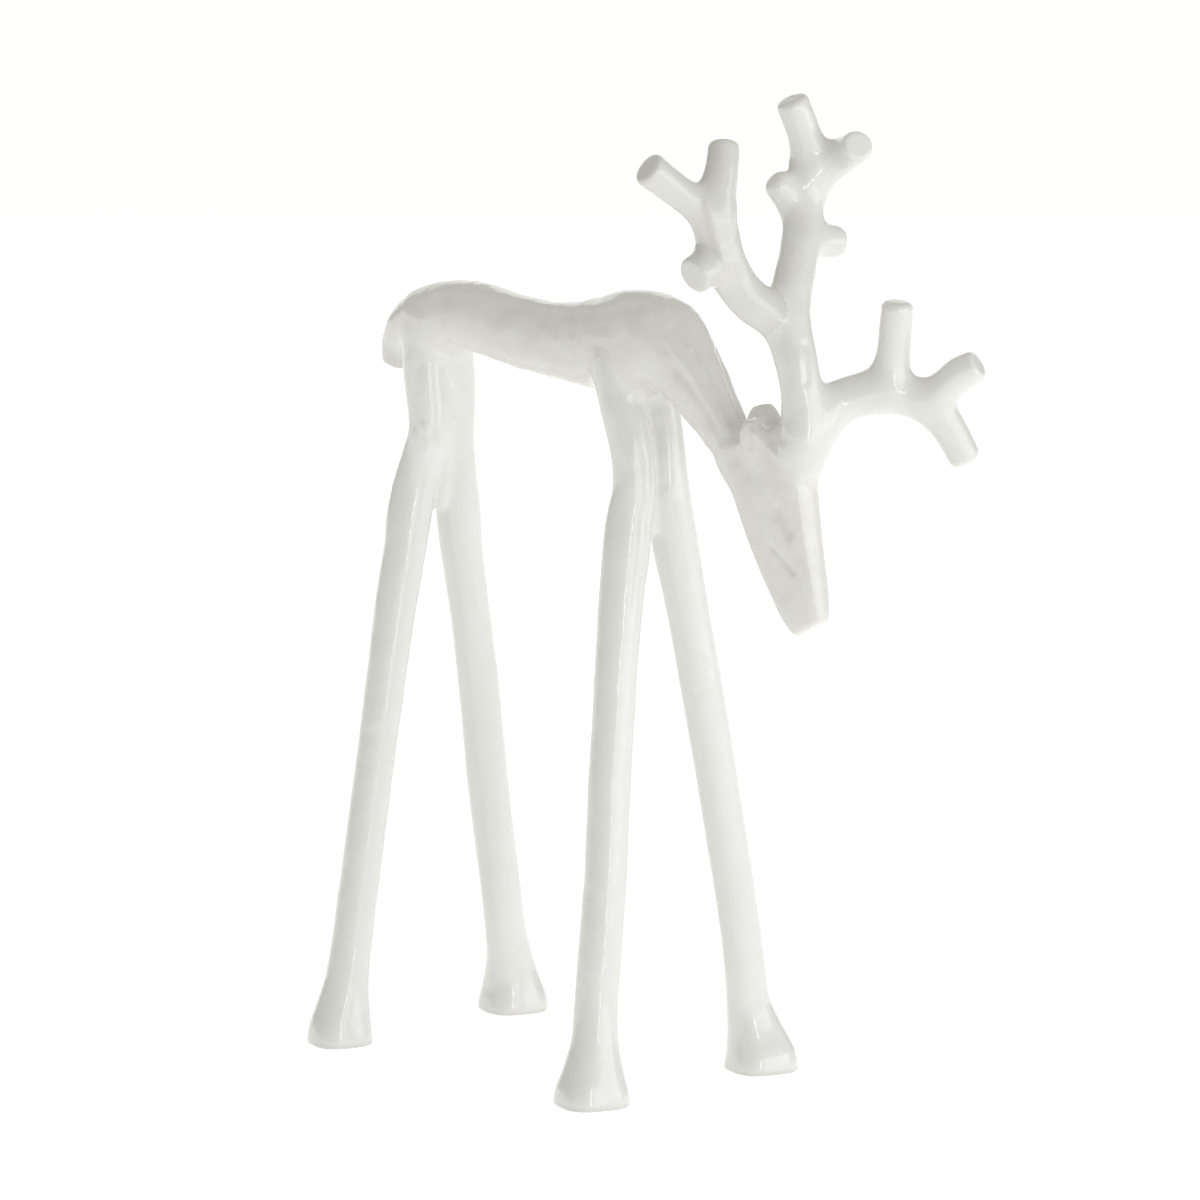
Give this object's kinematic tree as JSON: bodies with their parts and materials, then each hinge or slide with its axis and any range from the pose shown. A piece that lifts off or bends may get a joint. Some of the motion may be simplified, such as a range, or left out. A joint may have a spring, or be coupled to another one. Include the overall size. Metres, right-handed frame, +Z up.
{
  "type": "yard reindeer ornament",
  "caption": "Free-standing grazing reindeer figure of bent and forged bar, with splayed legs, upset hooves and branching antlers, finished all over in gloss white.",
  "frame": {"origin": "on the ground, at the middle of the overall bounding box in plan", "axes": "+X forwards from tail to muzzle, +Y towards the animal's left, +Z up"},
  "size_m": [0.2664, 0.1102, 0.3603],
  "materials": {
    "body_enamel": "thick gloss white enamel over hammered metal",
    "leg_enamel": "thick gloss white enamel over bar",
    "antler_enamel": "thick gloss white enamel over bar"
  },
  "bodies": {
    "root": {"body_bar": "body_enamel", "head": "body_enamel", "right_ear": "body_enamel", "left_ear": "body_enamel", "right_hind_leg": "leg_enamel", "left_hind_leg": "leg_enamel", "right_front_leg": "leg_enamel", "left_front_leg": "leg_enamel", "main_beam": "antler_enamel", "right_beam": "antler_enamel", "brow_beam": "antler_enamel", "left_outer_tine": "antler_enamel", "left_outer_stub": "antler_enamel", "left_inner_stub": "antler_enamel", "right_outer_tine": "antler_enamel", "right_stub": "antler_enamel", "brow_upper_tine": "antler_enamel", "brow_front_tine": "antler_enamel"}
  },
  "joints": []
}
